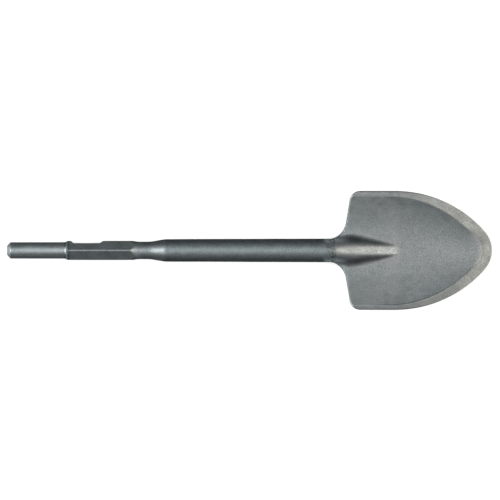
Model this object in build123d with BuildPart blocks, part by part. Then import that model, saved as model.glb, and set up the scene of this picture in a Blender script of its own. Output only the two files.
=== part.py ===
from build123d import *
import os
from math import atan, cos, degrees, radians, sin, sqrt, tan

# Driving dimensions of the shank, in millimetres, measured from the striking face
hex_across_flats = 19.0
pilot_diameter = 16.3
pilot_end = 56.9
end_chamfer_length = 3.4
end_chamfer_height = 4.6
lead_in_length = 3.0
lead_in_rise = 0.8
hex_shoulder_length = 2.0
scallop_radius = 20.0
hex_end = 131.3
neck_diameter = 17.4
neck_end = 142.2
cone_end = 156.5
neck_blend_radius = 12.0
end_edge_radius = 0.6
notch_depth = 2.2
notch_floor_start = 65.8
notch_floor_end = 92.1
notch_front_run = 2.4
notch_back_run = 3.2

# Driving dimensions of the round shaft
shaft_start_diameter = 22.5
shaft_end_diameter = 23.6
shaft_end = 317.5

# Driving dimensions of the blade
overall_length = 481.2
blade_width = 118.1
side_arc_radius = 118.0
side_arc_sweep = 49.2
corner_radius = 10.5
flare_radius = 18.9
trumpet_radius = 18.2
trumpet_inset = 0.05
shoulder_lean = 9.35
root_thickness = 9.5
nose_thickness = 4.8
scoop_half_angle = 50.0
scoop_apex_beyond_tip = 46.0
belly_half_angle = 27.5
belly_apex_beyond_tip = 177.0

# Driving dimensions of the ground edge
bevel_width_nose = 10.3
bevel_width_side = 5.1
bevel_slope_nose = 13.0
bevel_slope_side = 6.0
bevel_margin = 3.0
bevel_widening_length = 72.0

# Driving dimensions of the rib, which carries the shaft down into the scoop
rib_bend = 326.0
rib_bend_half_length = 6.0
rib_end = 388.0
rib_tail_length = 12.0
rib_root_radius = 13.1
rib_taper = 0.125
rib_foot_radius = 2.2
rib_sections = 16
rim_radius = 1.4

# Room that cutting shapes have beyond the metal, and how closely an edge is looked for
cut_clearance = 5.0
crown_clearance = 0.5
edge_search = 0.1

# The X axis is the axis of the shank, and the floor lies one shaft radius below it
pilot_radius = pilot_diameter / 2
neck_radius = neck_diameter / 2
shaft_start_radius = shaft_start_diameter / 2
shaft_end_radius = shaft_end_diameter / 2
floor_height = -shaft_start_radius
shaft_end_height = floor_height + shaft_end_radius
crest_height = floor_height + shaft_end_diameter
hex_corner_radius = hex_across_flats / sqrt(3)

# Outline of the blade, from the shoulder to the nose
half_width = blade_width / 2
side_sweep = radians(side_arc_sweep)
nose_radius = (half_width - side_arc_radius * (1 - cos(side_sweep))) / cos(side_sweep)
nose_centre = overall_length - nose_radius
side_arc_start = nose_centre - (side_arc_radius - nose_radius) * sin(side_sweep)
shoulder_turn = 90 - shoulder_lean
corner_rise = corner_radius * (1 - cos(radians(shoulder_turn)))

# Slope of the scoop's lowest line, which thins the blade from its root to its nose
blade_root = shaft_end + flare_radius
bevel_nose_line = overall_length - bevel_width_nose
scoop_slope = (root_thickness - nose_thickness) / (bevel_nose_line - blade_root)
scoop_slope_angle = degrees(atan(scoop_slope))
scoop_apex = overall_length + scoop_apex_beyond_tip
scoop_apex_height = floor_height + nose_thickness - (scoop_apex - bevel_nose_line) * scoop_slope
belly_apex = overall_length + belly_apex_beyond_tip
cone_reach = 420.0


def point_behind(apex_x, apex_height, angle, distance):
    """Point in the upright middle plane, back from an apex at an angle above level."""
    return (apex_x - distance * cos(radians(angle)), apex_height + distance * sin(radians(angle)))


def cone_axis(apex_x, apex_height, angle):
    """Axis of a cone that lies in the upright middle plane, rising backwards from its apex."""
    return Axis((apex_x, 0, apex_height), (-cos(radians(angle)), 0, sin(radians(angle))))


def scoop_height(x, y):
    """Height of the scooped face, measured from the shank's axis."""
    reach = scoop_apex - x
    opening = reach * tan(radians(scoop_half_angle))
    spread = tan(radians(scoop_half_angle)) ** 2 - 1
    rise = (sqrt(opening**2 + spread * y**2) - opening) / spread
    return scoop_apex_height + reach * scoop_slope + rise


rib_slope = (crest_height - scoop_height(rib_end, 0)) / (rib_end - rib_bend)


def crest_drop(x):
    """How far the rib's top line has fallen below the shaft's top line."""
    past_bend = x - rib_bend
    if past_bend <= -rib_bend_half_length:
        return 0.0
    if past_bend < rib_bend_half_length:
        return rib_slope * (past_bend + rib_bend_half_length) ** 2 / (4 * rib_bend_half_length)
    return rib_slope * past_bend


def rib_radius(x):
    """Radius of the rib's round section, which swells up to the blade's root and then tapers."""
    if x > blade_root:
        return rib_root_radius - rib_taper * (x - blade_root)
    swell = (x - shaft_end) / flare_radius
    return shaft_end_radius + (rib_root_radius - shaft_end_radius) * swell**2


# Hexagon with one corner up and one down, turned away at both ends
with BuildPart() as hexagon:
    with BuildSketch(Plane.YZ.offset(pilot_end)):
        RegularPolygon(hex_across_flats / 2, 6, major_radius=False, rotation=30)
    extrude(amount=hex_end - pilot_end)
    with BuildSketch(Plane.XZ):
        with BuildLine():
            crown = hex_corner_radius + crown_clearance
            scallop_turn = degrees(sqrt(2 * (crown - neck_radius) / scallop_radius))
            ring_end = pilot_end + lead_in_length
            lead_in = Polyline(
                (pilot_end, pilot_radius),
                (ring_end, pilot_radius + lead_in_rise),
                (ring_end + hex_shoulder_length, crown),
            )
            scallop = CenterArc((hex_end, neck_radius + scallop_radius), scallop_radius, 270, -scallop_turn)
            Line(lead_in @ 1, scallop @ 1)
            Polyline(scallop @ 0, (hex_end, 0), (pilot_end, 0), lead_in @ 0)
        make_face()
    revolve(axis=Axis.X, mode=Mode.INTERSECT)

# Notch milled across one flat, with a sloped entry and exit
with BuildPart() as notch:
    with BuildSketch(Plane.XY):
        with BuildLine():
            notch_floor = hex_across_flats / 2 - notch_depth
            notch_top = hex_across_flats / 2 + notch_depth
            Polyline(
                (notch_floor_start, notch_floor),
                (notch_floor_end, notch_floor),
                (notch_floor_end + 2 * notch_back_run, notch_top),
                (notch_floor_start - 2 * notch_front_run, notch_top),
                close=True,
            )
        make_face()
    extrude(amount=hex_across_flats, both=True)

# Turned pilot, neck and cone, with the hexagon and the round shaft
with BuildPart() as shank:
    with BuildSketch(Plane.XZ):
        with BuildLine():
            Polyline(
                (0, 0),
                (0, pilot_radius - end_chamfer_height),
                (end_chamfer_length, pilot_radius),
                (pilot_end + 1, pilot_radius),
                (hex_end - 1, neck_radius),
                (neck_end, neck_radius),
                (cone_end, shaft_start_radius),
                (cone_end, 0),
                close=True,
            )
        make_face()
    revolve(axis=Axis.X)
    add(hexagon.part)
    add(notch.part, mode=Mode.SUBTRACT)
    with BuildSketch(Plane.YZ.offset(cone_end)):
        Circle(shaft_start_radius)
    with BuildSketch(Plane.YZ.offset(shaft_end)):
        with Locations((0, shaft_end_height)):
            Circle(shaft_end_radius)
    loft()
    neck_edge = shank.edges().filter_by_position(Axis.X, neck_end - edge_search, neck_end + edge_search)
    fillet(neck_edge, radius=neck_blend_radius)
    end_edge = shank.edges().filter_by_position(
        Axis.X, end_chamfer_length - edge_search, end_chamfer_length + edge_search
    )
    fillet(end_edge, radius=end_edge_radius)

# Space above the belly, a wide cone whose lowest line lies along the floor
with BuildPart() as belly:
    with BuildSketch(Plane.XZ):
        with BuildLine():
            belly_tip = (belly_apex, floor_height)
            belly_length = cone_reach * cos(radians(belly_half_angle))
            belly_axis_end = point_behind(*belly_tip, belly_half_angle, belly_length)
            belly_rim = point_behind(*belly_tip, 2 * belly_half_angle, cone_reach)
            Polyline(belly_tip, belly_axis_end, belly_rim, close=True)
        make_face()
    revolve(axis=cone_axis(*belly_tip, belly_half_angle))

# Hollow of the scoop, a cone whose lowest line falls gently towards the nose
with BuildPart() as scoop:
    with BuildSketch(Plane.XZ):
        with BuildLine():
            scoop_tip = (scoop_apex, scoop_apex_height)
            scoop_axis_angle = scoop_slope_angle + scoop_half_angle
            scoop_length = cone_reach * cos(radians(scoop_half_angle))
            scoop_axis_end = point_behind(*scoop_tip, scoop_axis_angle, scoop_length)
            scoop_rim = point_behind(*scoop_tip, scoop_axis_angle + scoop_half_angle, cone_reach)
            Polyline(scoop_tip, scoop_axis_end, scoop_rim, close=True)
        make_face()
    revolve(axis=cone_axis(*scoop_tip, scoop_axis_angle))

# Trumpet that rounds the root of the blade into the shaft
with BuildPart() as trumpet:
    with BuildSketch(Plane.XZ):
        with BuildLine():
            trumpet_end = overall_length + cut_clearance
            flare = JernArc((shaft_end, crest_height - trumpet_inset), (1, 0), trumpet_radius, shoulder_turn)
            wall = PolarLine(flare @ 1, half_width, shoulder_turn)
            Polyline(
                wall @ 1,
                (trumpet_end, (wall @ 1).Y),
                (trumpet_end, shaft_end_height),
                (shaft_end, shaft_end_height),
                flare @ 0,
            )
        make_face()
    revolve(axis=Axis((0, 0, shaft_end_height), (1, 0, 0)))

# Round rib that leaves the shaft, swells at the blade's root and sinks into the scoop
with BuildPart() as rib:
    rib_step = (rib_end + rib_tail_length - shaft_end) / rib_sections
    for section in range(rib_sections + 1):
        station = shaft_end + section * rib_step
        with BuildSketch(Plane((station, 0, 0), x_dir=(0, 0, -1), z_dir=(1, 0, 0))):
            with Locations((rib_radius(station) + crest_drop(station) - crest_height, 0)):
                Circle(rib_radius(station))
    loft()
    add(belly.part, mode=Mode.INTERSECT)

# Plan outline of the blade, from the shaft round the shoulders and the sides to the nose
with BuildSketch(Plane.XY.offset(floor_height)) as outline:
    with BuildLine():
        root = Line((shaft_end, 0), (shaft_end, shaft_end_radius))
        throat = JernArc(root @ 1, (1, 0), flare_radius, shoulder_turn)
        shoulder_length = (half_width - corner_rise - (throat @ 1).Y) / sin(radians(shoulder_turn))
        shoulder = PolarLine(throat @ 1, shoulder_length, shoulder_turn)
        corner = JernArc(shoulder @ 1, shoulder % 1, corner_radius, -shoulder_turn)
        side = Line(corner @ 1, (side_arc_start, half_width))
        side_arc = JernArc(side @ 1, (1, 0), side_arc_radius, -side_arc_sweep)
        nose = JernArc(side_arc @ 1, side_arc % 1, nose_radius, side_arc_sweep - 90)
        mirror(about=Plane.XZ)
    make_face()


def edge_point(angle):
    """Point of the blade's edge where its outward direction has turned by an angle from sideways."""
    turn = radians(angle)
    if angle <= side_arc_sweep:
        centre = (side_arc_start, half_width - side_arc_radius)
        return (centre[0] + side_arc_radius * sin(turn), centre[1] + side_arc_radius * cos(turn))
    return (nose_centre + nose_radius * sin(turn), nose_radius * cos(turn))


def bevel_border(x, y, angle, inward):
    """Point of the bevel's border, inside its inner line or beyond the blade's edge."""
    widening = min(max((x - side_arc_start) / bevel_widening_length, 0.0), 1.0)
    width = bevel_width_side + (bevel_width_nose - bevel_width_side) * widening
    slope = tan(radians(bevel_slope_side + (bevel_slope_nose - bevel_slope_side) * angle / 90))
    forward = sin(radians(angle))
    sideways = cos(radians(angle))
    line_height = scoop_height(x - forward * width, y - sideways * width)
    reach = -width - bevel_margin if inward else bevel_margin
    height = line_height - slope * (width + reach)
    return (x + forward * reach, y + sideways * reach, height)


# Stations of the bevel along one side of the blade, as edge points and outward directions
straight_side = (shaft_end, blade_root + corner_radius, side_arc_start - corner_radius)
stations = [(x, half_width, 0) for x in straight_side]
stations += [(*edge_point(angle), angle) for angle in range(6, 90, 12)]


def bevel_curve(inward):
    """Curve through the bevel's border points on one side, round the nose and back."""
    one_side = [bevel_border(*station, inward) for station in stations]
    tip = bevel_border(*edge_point(90), 90, inward)
    other_side = [(x, -y, z) for x, y, z in reversed(one_side)]
    with BuildLine() as curve:
        Spline(*one_side, tip, *other_side)
    return curve.edge()


bevel = Face.make_surface_from_curves(bevel_curve(inward=True), bevel_curve(inward=False))

# Blade, cut from a plate by its belly, its rounded root, its scoop and its ground bevel
with BuildPart() as blade:
    add(outline.sketch)
    extrude(amount=2 * shaft_end_diameter)
    add(trumpet.part, mode=Mode.INTERSECT)
    add(belly.part, mode=Mode.INTERSECT)
    add(scoop.part, mode=Mode.SUBTRACT)
    extrude(bevel, amount=2 * shaft_end_diameter, dir=(0, 0, 1), mode=Mode.SUBTRACT)

# Whole chisel, forged in one piece
with BuildPart() as spade_chisel:
    add(shank.part)
    add(rib.part)
    add(blade.part)
    rib_foot = spade_chisel.edges().filter_by_position(Axis.X, rib_end - 2, rib_end + 2)
    fillet(rib_foot.sort_by(Axis.Z)[-1:], radius=rib_foot_radius)
    belly_face = spade_chisel.faces().filter_by(GeomType.CONE).sort_by(Axis.Z)[0]
    fillet(belly_face.edges(), radius=rim_radius)

spade_chisel.part.label = "spade_chisel"
os.makedirs("parts", exist_ok=True)
export_step(spade_chisel.part, "parts/spade_chisel.step")
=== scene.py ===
"""Looks of a forged spade chisel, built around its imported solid.

The tool lies with its scooped face up. X runs from the striking face to the nose, Y across the
blade and Z up. Sizes are in millimetres until a mesh is written, and in metres from there on.
"""

import logging
import math
from dataclasses import dataclass
from enum import Enum
from typing import NamedTuple

import bmesh
import bpy
import numpy as np
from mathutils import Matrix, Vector, noise

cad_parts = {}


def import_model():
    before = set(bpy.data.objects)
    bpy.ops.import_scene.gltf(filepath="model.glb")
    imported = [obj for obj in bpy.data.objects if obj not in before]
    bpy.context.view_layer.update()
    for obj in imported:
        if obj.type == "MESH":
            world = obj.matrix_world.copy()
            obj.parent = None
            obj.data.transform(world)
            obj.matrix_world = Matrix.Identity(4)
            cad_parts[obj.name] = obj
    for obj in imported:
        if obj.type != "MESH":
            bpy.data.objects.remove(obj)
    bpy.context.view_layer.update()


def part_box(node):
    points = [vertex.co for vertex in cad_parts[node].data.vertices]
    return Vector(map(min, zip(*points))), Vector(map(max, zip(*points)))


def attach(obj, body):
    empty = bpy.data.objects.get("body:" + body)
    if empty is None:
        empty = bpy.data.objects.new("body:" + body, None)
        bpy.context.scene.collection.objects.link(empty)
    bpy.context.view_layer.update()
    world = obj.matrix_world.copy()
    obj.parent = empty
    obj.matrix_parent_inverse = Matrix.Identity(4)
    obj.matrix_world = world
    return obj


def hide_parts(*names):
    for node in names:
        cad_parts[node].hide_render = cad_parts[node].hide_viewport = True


Array = np.ndarray
Socket = bpy.types.NodeSocket
LOG = logging.getLogger("spade_chisel")
MM = 0.001
NODE = "spade_chisel"


def soft_max(first: Array, second: Array, width: float | Array) -> Array:
    """Larger of two distances, with the edge between them rounded off.

    Args:
        first: Distances to one surface.
        second: Distances to the other surface.
        width: How far from the edge the rounding reaches.

    Returns:
        The joined distances.
    """
    width = np.maximum(width, 1e-6)
    near = np.maximum(width - np.abs(first - second), 0.0) / width
    return np.maximum(first, second) + near * near * width / 4


def soft_min(first: Array, second: Array, width: float | Array) -> Array:
    """Smaller of two distances, with the corner between them filled (see soft_max)."""
    return -soft_max(-first, -second, width)


def ramp(value: Array, start: float, end: float) -> Array:
    """Smooth rise from 0 at start to 1 at end."""
    share = np.clip((value - start) / (end - start), 0.0, 1.0)
    return share * share * (3 - 2 * share)


def mix(first: float, second: float, share: Array) -> Array:
    """Value between two others, by a share from 0 to 1."""
    return first + (second - first) * share


def grey(tone: float) -> tuple[float, float, float, float]:
    """Colour of an even grey."""
    return tone, tone, tone, 1.0


def mesh_data(mesh: bmesh.types.BMesh, name: str) -> bpy.types.Mesh:
    """Write a mesh out as named data and free it."""
    data = bpy.data.meshes.new(name)
    mesh.to_mesh(data)
    mesh.free()
    return data


def put_in(name: str, data: bpy.types.ID) -> bpy.types.Object:
    """Make an object of a mesh, a lamp or a camera and put it in the scene."""
    item = bpy.data.objects.new(name, data)
    bpy.context.scene.collection.objects.link(item)
    return item


class Mark(Enum):
    """Names of the values stored on the skin's points for its finish, its painted shade and its painted
    highlights.
    """

    TURNED = "turned"
    MILLED = "milled"
    GROUND = "ground"
    # painted shade: darker rims, bevel, scooped face beside the bevel and the rib, and sides of the ring and
    # chamfer
    SCALED = "scaled"
    # wear on edges, together with painted highlights on the rib's crest, the cone, the chamfer, the shoulder
    # corners and lines along the bevel
    WORN_AND_HIGHLIGHT = "worn"
    HOLLOW = "hollow"
    EDGE_RUN = "edge_run"
    EDGE_DEPTH = "edge_depth"


class Tint(Enum):
    """Named colours of the steel, as linear red, green and blue."""

    BLADE = (0.247, 0.268, 0.281)
    SHANK = (0.222, 0.256, 0.270)
    TURNED = (0.335, 0.372, 0.390)
    MILLED = (0.200, 0.226, 0.238)
    # painted shade: the ground bevel is painted darker towards the nose
    GROUND_NOSE_SHADED = (0.177, 0.185, 0.190)
    GROUND_SIDE = (0.252, 0.270, 0.280)
    # lighter, warm colour of worn steel and of painted highlights
    WORN_AND_HIGHLIGHT = (0.490, 0.478, 0.459)
    # dark colour for painted shade, darker hollows, the mottle and blob at the blade's root and the
    # blasting's specks
    SCALE = (0.099, 0.119, 0.120)


@dataclass
class Shank:
    """Round pilot, hexagon with its retaining notch, neck and cone, then the round shaft."""

    floor: float
    crest: float
    across_flats: float = 19.0
    corner_land: float = 1.0
    corner_lean: float = math.radians(30)
    pilot_radius: float = 8.15
    pilot_end: float = 56.9
    chamfer_length: float = 3.2
    chamfer_height: float = 3.7
    lead_in_radius: float = 3.4
    shoulder_end: float = 61.9
    scallop_radius: float = 20.0
    hexagon_end: float = 131.3
    neck_radius: float = 8.7
    neck_end: float = 142.2
    cone_end: float = 156.5
    notch_floor: tuple[float, float] = (65.8, 92.1)
    notch_ends: tuple[float, float] = (63.4, 95.3)
    notch_depth: float = 2.2
    notch_reach: float = 3.0
    notch_lean: float = 0.8
    shaft_end: float = 317.5
    ring_over_corners: float = 0.5
    chamfer_rounding: float = 0.45
    cone_foot_rounding: float = 0.6
    cone_top_rounding: float = 0.35
    corner_rounding: float = 0.25
    land_rounding: float = 0.12
    flat_rounding: float = 0.5
    notch_rounding: float = 0.4
    face_rounding: float = 0.2

    def shaft_radius(self, x: Array) -> Array:
        """Radius of the round shaft, which swells a little towards the blade."""
        share = (x - self.cone_end) / (self.shaft_end - self.cone_end)
        return -self.floor + (self.crest + self.floor) / 2 * np.clip(share, 0.0, 1.0)

    def centre_height(self, x: Array) -> Array:
        """Height of the shaft's centre, so that its underside stays level."""
        return self.floor + np.where(x > self.cone_end, self.shaft_radius(x), -self.floor)

    def turned_radius(self, x: Array) -> Array:
        """Radius of the turned profile before the flats are cut.

        Args:
            x: Distances from the striking face.

        Returns:
            The radius at each distance.
        """
        crown = self.across_flats / math.sqrt(3) + self.ring_over_corners
        chamfer = self.pilot_radius - self.chamfer_height * (1 - x / self.chamfer_length)
        run = np.clip(x - self.pilot_end, 0.0, self.lead_in_radius)
        lead_in = self.pilot_radius + self.lead_in_radius - np.sqrt(self.lead_in_radius**2 - run**2)
        front = soft_min(chamfer, np.full_like(x, self.pilot_radius), self.chamfer_rounding)
        front = np.where(x > self.pilot_end, lead_in, front)
        behind = np.clip(self.hexagon_end - x, 0.0, self.scallop_radius)
        scallop = self.neck_radius + self.scallop_radius - np.sqrt(self.scallop_radius**2 - behind**2)
        slope = (-self.floor - self.neck_radius) / (self.cone_end - self.neck_end)
        cone = self.neck_radius + slope * (x - self.neck_end)
        back = soft_max(scallop, cone, self.cone_foot_rounding)
        back = soft_min(back, self.shaft_radius(x), self.cone_top_rounding)
        return np.where(x < (self.shoulder_end + self.hexagon_end) / 2, np.minimum(front, crown), back)

    def crown_radius(self) -> float:
        """Radius that the hexagon's corners are turned down to, which leaves a narrow land on each."""
        return self.across_flats / math.sqrt(3) - self.corner_land / 2 * math.tan(self.corner_lean)

    def distance(self, x: Array, y: Array, z: Array) -> Array:
        """Signed distance to the shank's surface, negative inside the steel.

        Args:
            x: Distances from the striking face.
            y: Distances across.
            z: Heights.

        Returns:
            One distance for each point.
        """
        turned = np.hypot(y, z - self.centre_height(x)) - self.turned_radius(x)
        half = self.across_flats / 2
        aslant = np.abs(y) * math.sin(self.corner_lean) + np.abs(z) * math.cos(self.corner_lean)
        flats = soft_max(np.abs(y), aslant, self.corner_rounding) - half
        flats = soft_max(flats, np.hypot(y, z) - self.crown_radius(), self.land_rounding)
        hexagonal = (x > self.pilot_end) & (x < self.neck_end)
        body = np.where(hexagonal, soft_max(turned, flats, self.flat_rounding), turned)
        start, end = self.notch_floor
        front = (start - x) / (start - self.notch_ends[0])
        back = (x - end) / (self.notch_ends[1] - end)
        notch = half - self.notch_depth * (1 - np.maximum(np.maximum(front, back), 0.0))
        in_reach = (x > self.notch_ends[0] - self.notch_reach) & (x < self.notch_ends[1] + self.notch_reach)
        cut = soft_max(body, (y - notch) * self.notch_lean, self.notch_rounding)
        return soft_max(np.where(in_reach, cut, body), -x, self.face_rounding)


@dataclass
class Blade:
    """Scooped blade with its rounded shoulders, its rib and the bevel ground round its edge."""

    length: float
    half_width: float
    floor: float
    crest: float
    shaft_end: float = 317.5
    side_arc_radius: float = 118.0
    side_arc_sweep: float = 49.2
    corner_radius: float = 10.5
    throat_radius: float = 18.9
    trumpet_radius: float = 18.2
    shoulder_lean: float = 9.35
    root_thickness: float = 9.5
    nose_thickness: float = 4.8
    scoop_half_angle: float = 50.0
    scoop_apex_beyond_tip: float = 46.0
    belly_half_angle: float = 27.5
    belly_apex_beyond_tip: float = 177.0
    bevel_width_nose: float = 10.3
    bevel_width_side: float = 5.1
    bevel_slope_nose: float = 13.0
    bevel_slope_side: float = 6.0
    bevel_slope_more: float = 4.0
    bevel_width_less: float = 0.65
    bevel_widening: float = 72.0
    rib_bend: float = 325.0
    rib_bend_half_length: float = 3.5
    rib_end: float = 388.0
    rib_root_radius: float = 13.1
    rib_taper: float = 0.125
    rib_rounding: float = 0.8
    rib_flat: float = 3.15
    rib_flat_lead: float = 8.0
    rib_flat_power: float = 0.6
    root_fill: float = 7.0
    foot_fill: float = 1.1
    fill_grows: tuple[float, float] = (2.0, 8.0)
    fill_before_end: float = 6.0
    side_crease: float = 0.3
    nose_crease: float = 1.2
    shoulder_edge: float = 0.4
    shoulder_edge_run: float = 8.0
    side_edge: float = 1.3
    nose_edge: float = 0.15
    nose_edge_run: float = 50.0
    shaft_edge: float = 0.2
    shaft_edge_end: float = 4.0
    bottom_edge: float = 1.7
    mouth_fill: float = 1.2
    mouth_less: float = 0.9
    mouth_run: tuple[float, float] = (16.0, 24.0)

    def __post_init__(self) -> None:
        """Work out the outline's arcs and the scoop's slope."""
        sweep = math.radians(self.side_arc_sweep)
        drop = self.side_arc_radius * (1 - math.cos(sweep))
        self.nose_radius = (self.half_width - drop) / math.cos(sweep)
        self.nose_centre = self.length - self.nose_radius
        self.arc_start = self.nose_centre - (self.side_arc_radius - self.nose_radius) * math.sin(sweep)
        self.arc_centre_y = self.half_width - self.side_arc_radius
        self.shaft_radius = (self.crest - self.floor) / 2
        self.turn = math.radians(90 - self.shoulder_lean)
        self.along = np.array((math.cos(self.turn), math.sin(self.turn)))
        self.outward = np.array((-math.sin(self.turn), math.cos(self.turn)))
        self.throat_centre = np.array((self.shaft_end, self.shaft_radius + self.throat_radius))
        self.throat_exit = self.throat_centre - self.throat_radius * self.outward
        rise = self.corner_radius * (1 - math.cos(self.turn))
        self.shoulder_length = (self.half_width - rise - self.throat_exit[1]) / self.along[1]
        shoulder_exit = self.throat_exit + self.along * self.shoulder_length
        self.corner_centre = shoulder_exit - self.corner_radius * self.outward
        self.root = self.shaft_end + self.throat_radius
        self.bevel_line = self.length - self.bevel_width_nose
        self.scoop_slope = (self.root_thickness - self.nose_thickness) / (self.bevel_line - self.root)
        self.scoop_apex = self.length + self.scoop_apex_beyond_tip
        past_line = self.scoop_apex - self.bevel_line
        self.scoop_apex_height = self.floor + self.nose_thickness - past_line * self.scoop_slope
        end_height = self.scoop(np.array(self.rib_end), np.array(0.0))
        self.rib_slope = float(self.crest - end_height) / (self.rib_end - self.rib_bend)

    @staticmethod
    def cone_rise(reach: Array, y: Array, half_angle: float) -> Array:
        """Height of a lying cone above its own lowest line.

        Args:
            reach: Distances back from the cone's apex.
            y: Distances across.
            half_angle: The cone's half angle in degrees.

        Returns:
            The height at each point.
        """
        opening = reach * math.tan(math.radians(half_angle))
        spread = math.tan(math.radians(half_angle)) ** 2 - 1
        return (np.sqrt(np.maximum(opening**2 + spread * y**2, 0.0)) - opening) / spread

    def scoop(self, x: Array, y: Array) -> Array:
        """Height of the scooped face."""
        reach = self.scoop_apex - x
        lowest = self.scoop_apex_height + reach * self.scoop_slope
        return lowest + self.cone_rise(reach, y, self.scoop_half_angle)

    def belly(self, x: Array, y: Array) -> Array:
        """Height of the underside."""
        reach = self.length + self.belly_apex_beyond_tip - x
        return self.floor + self.cone_rise(reach, y, self.belly_half_angle)

    def edge_frame(self, x: Array, y: Array) -> tuple[Array, Array]:
        """Distance beyond the ground edge and the angle that the edge has turned to there.

        Args:
            x: Distances from the striking face.
            y: Distances across, on either side.

        Returns:
            The distance beyond the edge, negative on the blade, and the outward angle from sideways.
        """
        across = np.abs(y)
        sweep = math.radians(self.side_arc_sweep)
        at_nose = (x - self.nose_centre) * math.cos(sweep) > across * math.sin(sweep)
        at_arc = (x > self.arc_start) & ~at_nose
        nose = np.hypot(x - self.nose_centre, across) - self.nose_radius
        arc = np.hypot(x - self.arc_start, across - self.arc_centre_y) - self.side_arc_radius
        beyond = np.where(at_nose, nose, np.where(at_arc, arc, across - self.half_width))
        nose_turn = np.arctan2(x - self.nose_centre, across)
        arc_turn = np.arctan2(x - self.arc_start, across - self.arc_centre_y)
        return beyond, np.where(at_nose, nose_turn, np.where(at_arc, arc_turn, 0.0))

    def plan_distance(self, x: Array, y: Array) -> Array:
        """Distance beyond the blade's outline seen from above, negative on the blade.

        Args:
            x: Distances from the striking face.
            y: Distances across.

        Returns:
            One distance for each point.
        """
        across = np.abs(y)
        front, _ = self.edge_frame(x, y)
        line_x, line_y = x - self.throat_exit[0], across - self.throat_exit[1]
        back = line_x * self.outward[0] + line_y * self.outward[1]
        throat_x, throat_y = x - self.throat_centre[0], across - self.throat_centre[1]
        in_throat = throat_x * self.along[0] + throat_y * self.along[1] < 0
        back = np.where(in_throat, self.throat_radius - np.hypot(throat_x, throat_y), back)
        back = np.where(x < self.shaft_end, across - self.shaft_radius, back)
        corner_x, corner_y = x - self.corner_centre[0], across - self.corner_centre[1]
        in_corner = (corner_x * self.along[0] + corner_y * self.along[1] > 0) & (corner_x < 0)
        return np.where(in_corner, np.hypot(corner_x, corner_y) - self.corner_radius, np.maximum(front, back))

    def bevel_width(self, x: Array, y: Array, turned: Array) -> Array:
        """Width of the ground bevel, which grows towards the nose and is less along the side on -Y."""
        share = np.clip((x - self.arc_start) / self.bevel_widening, 0.0, 1.0)
        width = mix(self.bevel_width_side, self.bevel_width_nose, share)
        return width - np.where(y < 0, self.bevel_width_less, 0.0) * np.cos(turned)

    def bevel(self, x: Array, y: Array) -> Array:
        """Height of the ground bevel, carried on over the scooped face.

        Args:
            x: Distances from the striking face.
            y: Distances across.

        Returns:
            The height at each point.
        """
        beyond, turned = self.edge_frame(x, y)
        forward, sideways = np.sin(turned), np.cos(turned)
        inward = self.bevel_width(x - forward * beyond, y, turned) + beyond
        slope = mix(self.bevel_slope_side, self.bevel_slope_nose, turned / (math.pi / 2))
        slope = slope + np.where(y < 0, self.bevel_slope_more, 0.0) * sideways
        line = self.scoop(x - forward * inward, np.abs(y) - sideways * inward)
        return line - np.tan(np.radians(slope)) * inward

    def rib_radius(self, x: Array) -> Array:
        """Radius of the rib's round section."""
        swell = np.clip((x - self.shaft_end) / self.throat_radius, 0.0, 1.0)
        swelling = mix(self.shaft_radius, self.rib_root_radius, swell**2)
        return soft_min(swelling, self.rib_root_radius - self.rib_taper * (x - self.root), self.rib_rounding)

    def rib_crest(self, x: Array) -> Array:
        """Height of the rib's top line."""
        past = np.clip(x - self.rib_bend, -self.rib_bend_half_length, None)
        bend = (past + self.rib_bend_half_length) ** 2 / (4 * self.rib_bend_half_length)
        return self.crest - self.rib_slope * np.where(past < self.rib_bend_half_length, bend, past)

    def trumpet(self, x: Array, y: Array, z: Array) -> Array:
        """Distance beyond the flared mouth that rounds the blade's root into the shaft."""
        centre = self.floor + self.shaft_radius
        most = self.trumpet_radius * math.sin(self.turn)
        run = np.clip(x - self.shaft_end, 0.0, most)
        mouth = self.shaft_radius + self.trumpet_radius - np.sqrt(self.trumpet_radius**2 - run**2)
        mouth = mouth + np.maximum(x - self.shaft_end - most, 0.0) * math.tan(self.turn)
        return (np.hypot(y, z - centre) - mouth) * np.sqrt(1 - (run / self.trumpet_radius) ** 2)

    def distance(self, x: Array, y: Array, z: Array) -> Array:
        """Signed distance to the surface of the blade and its rib, negative inside the steel.

        Args:
            x: Distances from the striking face.
            y: Distances across.
            z: Heights.

        Returns:
            One distance for each point.
        """
        crease = mix(self.side_crease, self.nose_crease, ramp(x, self.nose_centre, self.bevel_line))
        face = soft_max(z - self.scoop(x, y), z - self.bevel(x, y), crease)
        corner_x = self.corner_centre[0]
        past_side = ramp(x, self.arc_start, self.arc_start + self.nose_edge_run)
        edge = mix(self.side_edge, self.nose_edge, past_side)
        at_shoulder = ramp(x, corner_x, corner_x - self.shoulder_edge_run)
        edge = edge + (self.shoulder_edge - self.side_edge) * at_shoulder
        plate = soft_max(face, self.plan_distance(x, y), edge)
        mouth = self.mouth_fill - self.mouth_less * ramp(np.abs(y), *self.mouth_run)
        plate = soft_max(plate, self.trumpet(x, y, z), mouth)
        flat_start = self.root - self.rib_flat_lead
        share = np.clip((x - flat_start) / (self.rib_end - flat_start), 0.0, 1.0)
        flat = self.rib_flat * share**self.rib_flat_power
        radius = self.rib_radius(x) - flat
        rib = np.hypot(np.maximum(np.abs(y) - flat, 0.0), z - self.rib_crest(x) + radius) - radius
        starts, full = self.shaft_end + self.fill_grows[0], self.root + self.fill_grows[1]
        fill = mix(self.root_fill, self.foot_fill, ramp(x, full, self.rib_end - self.fill_before_end))
        whole = soft_min(plate, rib, fill * ramp(x, starts, full))
        past_shaft = ramp(x, self.shaft_end + self.shaft_edge_end, self.root)
        return soft_max(whole, self.belly(x, y) - z, mix(self.shaft_edge, self.bottom_edge, past_shaft))

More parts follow.
